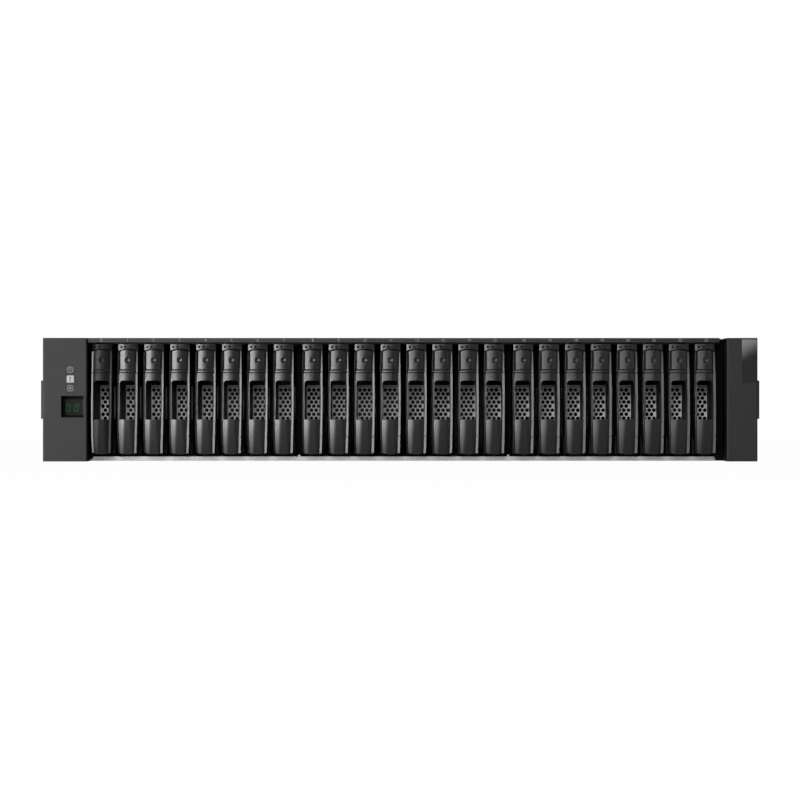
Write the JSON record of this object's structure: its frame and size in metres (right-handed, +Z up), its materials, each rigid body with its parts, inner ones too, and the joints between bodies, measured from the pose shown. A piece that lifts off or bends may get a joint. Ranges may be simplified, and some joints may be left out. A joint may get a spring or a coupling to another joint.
{
  "type": "storage array",
  "caption": "Rack-mount storage array: a low sheet-metal chassis with a row of upright hot-swap drive carriers with cam handles, end caps, and rear controller and power canisters.",
  "frame": {"origin": "on the underside, midway across the chassis, in the plane of the rack ears' rear faces", "axes": "+X to the right seen from the front, +Y to the rear, +Z up"},
  "size_m": [0.4826, 0.4827, 0.083],
  "materials": {
    "chassis_steel": "bare zinc-coated sheet",
    "cage_paint": "black powder coat",
    "carrier": "dark satin",
    "handle": "fine moulded texture",
    "end_cap": "fine moulded texture",
    "display": "glossy",
    "board": "solder mask",
    "canister_steel": "bare zinc-coated sheet",
    "power_case": "satin"
  },
  "bodies": {
    "chassis": {"chassis_tray": "chassis_steel", "top_cover": "chassis_steel", "drive_cage": "cage_paint", "midplane_board": "board", "rear_bay_divider": "chassis_steel", "left_end_cap": "end_cap", "right_end_cap": "end_cap", "status_display": "display"},
    "controller_a": {"controller_a": "canister_steel"},
    "power_supply_a": {"power_supply_a": "power_case"},
    "controller_b": {"controller_b": "canister_steel"},
    "power_supply_b": {"power_supply_b": "power_case"},
    "drive_01": {"drive_carrier_01": "carrier"},
    "handle_01": {"cam_handle_01": "handle"},
    "drive_02": {"drive_carrier_02": "carrier"},
    "handle_02": {"cam_handle_02": "handle"},
    "drive_03": {"drive_carrier_03": "carrier"},
    "handle_03": {"cam_handle_03": "handle"},
    "drive_04": {"drive_carrier_04": "carrier"},
    "handle_04": {"cam_handle_04": "handle"},
    "drive_05": {"drive_carrier_05": "carrier"},
    "handle_05": {"cam_handle_05": "handle"},
    "drive_06": {"drive_carrier_06": "carrier"},
    "handle_06": {"cam_handle_06": "handle"},
    "drive_07": {"drive_carrier_07": "carrier"},
    "handle_07": {"cam_handle_07": "handle"},
    "drive_08": {"drive_carrier_08": "carrier"},
    "handle_08": {"cam_handle_08": "handle"},
    "drive_09": {"drive_carrier_09": "carrier"},
    "handle_09": {"cam_handle_09": "handle"},
    "drive_10": {"drive_carrier_10": "carrier"},
    "handle_10": {"cam_handle_10": "handle"},
    "drive_11": {"drive_carrier_11": "carrier"},
    "handle_11": {"cam_handle_11": "handle"},
    "drive_12": {"drive_carrier_12": "carrier"},
    "handle_12": {"cam_handle_12": "handle"},
    "drive_13": {"drive_carrier_13": "carrier"},
    "handle_13": {"cam_handle_13": "handle"},
    "drive_14": {"drive_carrier_14": "carrier"},
    "handle_14": {"cam_handle_14": "handle"},
    "drive_15": {"drive_carrier_15": "carrier"},
    "handle_15": {"cam_handle_15": "handle"},
    "drive_16": {"drive_carrier_16": "carrier"},
    "handle_16": {"cam_handle_16": "handle"},
    "drive_17": {"drive_carrier_17": "carrier"},
    "handle_17": {"cam_handle_17": "handle"},
    "drive_18": {"drive_carrier_18": "carrier"},
    "handle_18": {"cam_handle_18": "handle"},
    "drive_19": {"drive_carrier_19": "carrier"},
    "handle_19": {"cam_handle_19": "handle"},
    "drive_20": {"drive_carrier_20": "carrier"},
    "handle_20": {"cam_handle_20": "handle"},
    "drive_21": {"drive_carrier_21": "carrier"},
    "handle_21": {"cam_handle_21": "handle"},
    "drive_22": {"drive_carrier_22": "carrier"},
    "handle_22": {"cam_handle_22": "handle"},
    "drive_23": {"drive_carrier_23": "carrier"},
    "handle_23": {"cam_handle_23": "handle"},
    "drive_24": {"drive_carrier_24": "carrier"},
    "handle_24": {"cam_handle_24": "handle"}
  },
  "joints": [
    {"name": "controller_a_slide", "type": "slide", "parent": "chassis", "child": "controller_a", "axis": [0, 1, 0], "range_m": [0, 0.25]},
    {"name": "power_supply_a_slide", "type": "slide", "parent": "chassis", "child": "power_supply_a", "axis": [0, 1, 0], "range_m": [0, 0.25]},
    {"name": "controller_b_slide", "type": "slide", "parent": "chassis", "child": "controller_b", "axis": [0, 1, 0], "range_m": [0, 0.25]},
    {"name": "power_supply_b_slide", "type": "slide", "parent": "chassis", "child": "power_supply_b", "axis": [0, 1, 0], "range_m": [0, 0.25]},
    {"name": "drive_01_slide", "type": "slide", "parent": "chassis", "child": "drive_01", "axis": [0, -1, 0], "range_m": [0, 0.16]},
    {"name": "handle_01_swing", "type": "hinge", "parent": "drive_01", "child": "handle_01", "pos_m": [-0.20085, -0.0215, 0.0095], "axis": [1, 0, 0], "range_deg": [0, 65]},
    {"name": "drive_02_slide", "type": "slide", "parent": "chassis", "child": "drive_02", "axis": [0, -1, 0], "range_m": [0, 0.16]},
    {"name": "handle_02_swing", "type": "hinge", "parent": "drive_02", "child": "handle_02", "pos_m": [-0.18335, -0.0215, 0.0095], "axis": [1, 0, 0], "range_deg": [0, 65]},
    {"name": "drive_03_slide", "type": "slide", "parent": "chassis", "child": "drive_03", "axis": [0, -1, 0], "range_m": [0, 0.16]},
    {"name": "handle_03_swing", "type": "hinge", "parent": "drive_03", "child": "handle_03", "pos_m": [-0.16585, -0.0215, 0.0095], "axis": [1, 0, 0], "range_deg": [0, 65]},
    {"name": "drive_04_slide", "type": "slide", "parent": "chassis", "child": "drive_04", "axis": [0, -1, 0], "range_m": [0, 0.16]},
    {"name": "handle_04_swing", "type": "hinge", "parent": "drive_04", "child": "handle_04", "pos_m": [-0.14835, -0.0215, 0.0095], "axis": [1, 0, 0], "range_deg": [0, 65]},
    {"name": "drive_05_slide", "type": "slide", "parent": "chassis", "child": "drive_05", "axis": [0, -1, 0], "range_m": [0, 0.16]},
    {"name": "handle_05_swing", "type": "hinge", "parent": "drive_05", "child": "handle_05", "pos_m": [-0.13085, -0.0215, 0.0095], "axis": [1, 0, 0], "range_deg": [0, 65]},
    {"name": "drive_06_slide", "type": "slide", "parent": "chassis", "child": "drive_06", "axis": [0, -1, 0], "range_m": [0, 0.16]},
    {"name": "handle_06_swing", "type": "hinge", "parent": "drive_06", "child": "handle_06", "pos_m": [-0.11335, -0.0215, 0.0095], "axis": [1, 0, 0], "range_deg": [0, 65]},
    {"name": "drive_07_slide", "type": "slide", "parent": "chassis", "child": "drive_07", "axis": [0, -1, 0], "range_m": [0, 0.16]},
    {"name": "handle_07_swing", "type": "hinge", "parent": "drive_07", "child": "handle_07", "pos_m": [-0.09585, -0.0215, 0.0095], "axis": [1, 0, 0], "range_deg": [0, 65]},
    {"name": "drive_08_slide", "type": "slide", "parent": "chassis", "child": "drive_08", "axis": [0, -1, 0], "range_m": [0, 0.16]},
    {"name": "handle_08_swing", "type": "hinge", "parent": "drive_08", "child": "handle_08", "pos_m": [-0.07835, -0.0215, 0.0095], "axis": [1, 0, 0], "range_deg": [0, 65]},
    {"name": "drive_09_slide", "type": "slide", "parent": "chassis", "child": "drive_09", "axis": [0, -1, 0], "range_m": [0, 0.16]},
    {"name": "handle_09_swing", "type": "hinge", "parent": "drive_09", "child": "handle_09", "pos_m": [-0.05885, -0.0215, 0.0095], "axis": [1, 0, 0], "range_deg": [0, 65]},
    {"name": "drive_10_slide", "type": "slide", "parent": "chassis", "child": "drive_10", "axis": [0, -1, 0], "range_m": [0, 0.16]},
    {"name": "handle_10_swing", "type": "hinge", "parent": "drive_10", "child": "handle_10", "pos_m": [-0.04135, -0.0215, 0.0095], "axis": [1, 0, 0], "range_deg": [0, 65]},
    {"name": "drive_11_slide", "type": "slide", "parent": "chassis", "child": "drive_11", "axis": [0, -1, 0], "range_m": [0, 0.16]},
    {"name": "handle_11_swing", "type": "hinge", "parent": "drive_11", "child": "handle_11", "pos_m": [-0.02385, -0.0215, 0.0095], "axis": [1, 0, 0], "range_deg": [0, 65]},
    {"name": "drive_12_slide", "type": "slide", "parent": "chassis", "child": "drive_12", "axis": [0, -1, 0], "range_m": [0, 0.16]},
    {"name": "handle_12_swing", "type": "hinge", "parent": "drive_12", "child": "handle_12", "pos_m": [-0.00635, -0.0215, 0.0095], "axis": [1, 0, 0], "range_deg": [0, 65]},
    {"name": "drive_13_slide", "type": "slide", "parent": "chassis", "child": "drive_13", "axis": [0, -1, 0], "range_m": [0, 0.16]},
    {"name": "handle_13_swing", "type": "hinge", "parent": "drive_13", "child": "handle_13", "pos_m": [0.01115, -0.0215, 0.0095], "axis": [1, 0, 0], "range_deg": [0, 65]},
    {"name": "drive_14_slide", "type": "slide", "parent": "chassis", "child": "drive_14", "axis": [0, -1, 0], "range_m": [0, 0.16]},
    {"name": "handle_14_swing", "type": "hinge", "parent": "drive_14", "child": "handle_14", "pos_m": [0.02865, -0.0215, 0.0095], "axis": [1, 0, 0], "range_deg": [0, 65]},
    {"name": "drive_15_slide", "type": "slide", "parent": "chassis", "child": "drive_15", "axis": [0, -1, 0], "range_m": [0, 0.16]},
    {"name": "handle_15_swing", "type": "hinge", "parent": "drive_15", "child": "handle_15", "pos_m": [0.04615, -0.0215, 0.0095], "axis": [1, 0, 0], "range_deg": [0, 65]},
    {"name": "drive_16_slide", "type": "slide", "parent": "chassis", "child": "drive_16", "axis": [0, -1, 0], "range_m": [0, 0.16]},
    {"name": "handle_16_swing", "type": "hinge", "parent": "drive_16", "child": "handle_16", "pos_m": [0.06365, -0.0215, 0.0095], "axis": [1, 0, 0], "range_deg": [0, 65]},
    {"name": "drive_17_slide", "type": "slide", "parent": "chassis", "child": "drive_17", "axis": [0, -1, 0], "range_m": [0, 0.16]},
    {"name": "handle_17_swing", "type": "hinge", "parent": "drive_17", "child": "handle_17", "pos_m": [0.08315, -0.0215, 0.0095], "axis": [1, 0, 0], "range_deg": [0, 65]},
    {"name": "drive_18_slide", "type": "slide", "parent": "chassis", "child": "drive_18", "axis": [0, -1, 0], "range_m": [0, 0.16]},
    {"name": "handle_18_swing", "type": "hinge", "parent": "drive_18", "child": "handle_18", "pos_m": [0.10065, -0.0215, 0.0095], "axis": [1, 0, 0], "range_deg": [0, 65]},
    {"name": "drive_19_slide", "type": "slide", "parent": "chassis", "child": "drive_19", "axis": [0, -1, 0], "range_m": [0, 0.16]},
    {"name": "handle_19_swing", "type": "hinge", "parent": "drive_19", "child": "handle_19", "pos_m": [0.11815, -0.0215, 0.0095], "axis": [1, 0, 0], "range_deg": [0, 65]},
    {"name": "drive_20_slide", "type": "slide", "parent": "chassis", "child": "drive_20", "axis": [0, -1, 0], "range_m": [0, 0.16]},
    {"name": "handle_20_swing", "type": "hinge", "parent": "drive_20", "child": "handle_20", "pos_m": [0.13565, -0.0215, 0.0095], "axis": [1, 0, 0], "range_deg": [0, 65]},
    {"name": "drive_21_slide", "type": "slide", "parent": "chassis", "child": "drive_21", "axis": [0, -1, 0], "range_m": [0, 0.16]},
    {"name": "handle_21_swing", "type": "hinge", "parent": "drive_21", "child": "handle_21", "pos_m": [0.15315, -0.0215, 0.0095], "axis": [1, 0, 0], "range_deg": [0, 65]},
    {"name": "drive_22_slide", "type": "slide", "parent": "chassis", "child": "drive_22", "axis": [0, -1, 0], "range_m": [0, 0.16]},
    {"name": "handle_22_swing", "type": "hinge", "parent": "drive_22", "child": "handle_22", "pos_m": [0.17065, -0.0215, 0.0095], "axis": [1, 0, 0], "range_deg": [0, 65]},
    {"name": "drive_23_slide", "type": "slide", "parent": "chassis", "child": "drive_23", "axis": [0, -1, 0], "range_m": [0, 0.16]},
    {"name": "handle_23_swing", "type": "hinge", "parent": "drive_23", "child": "handle_23", "pos_m": [0.18815, -0.0215, 0.0095], "axis": [1, 0, 0], "range_deg": [0, 65]},
    {"name": "drive_24_slide", "type": "slide", "parent": "chassis", "child": "drive_24", "axis": [0, -1, 0], "range_m": [0, 0.16]},
    {"name": "handle_24_swing", "type": "hinge", "parent": "drive_24", "child": "handle_24", "pos_m": [0.20565, -0.0215, 0.0095], "axis": [1, 0, 0], "range_deg": [0, 65]}
  ]
}
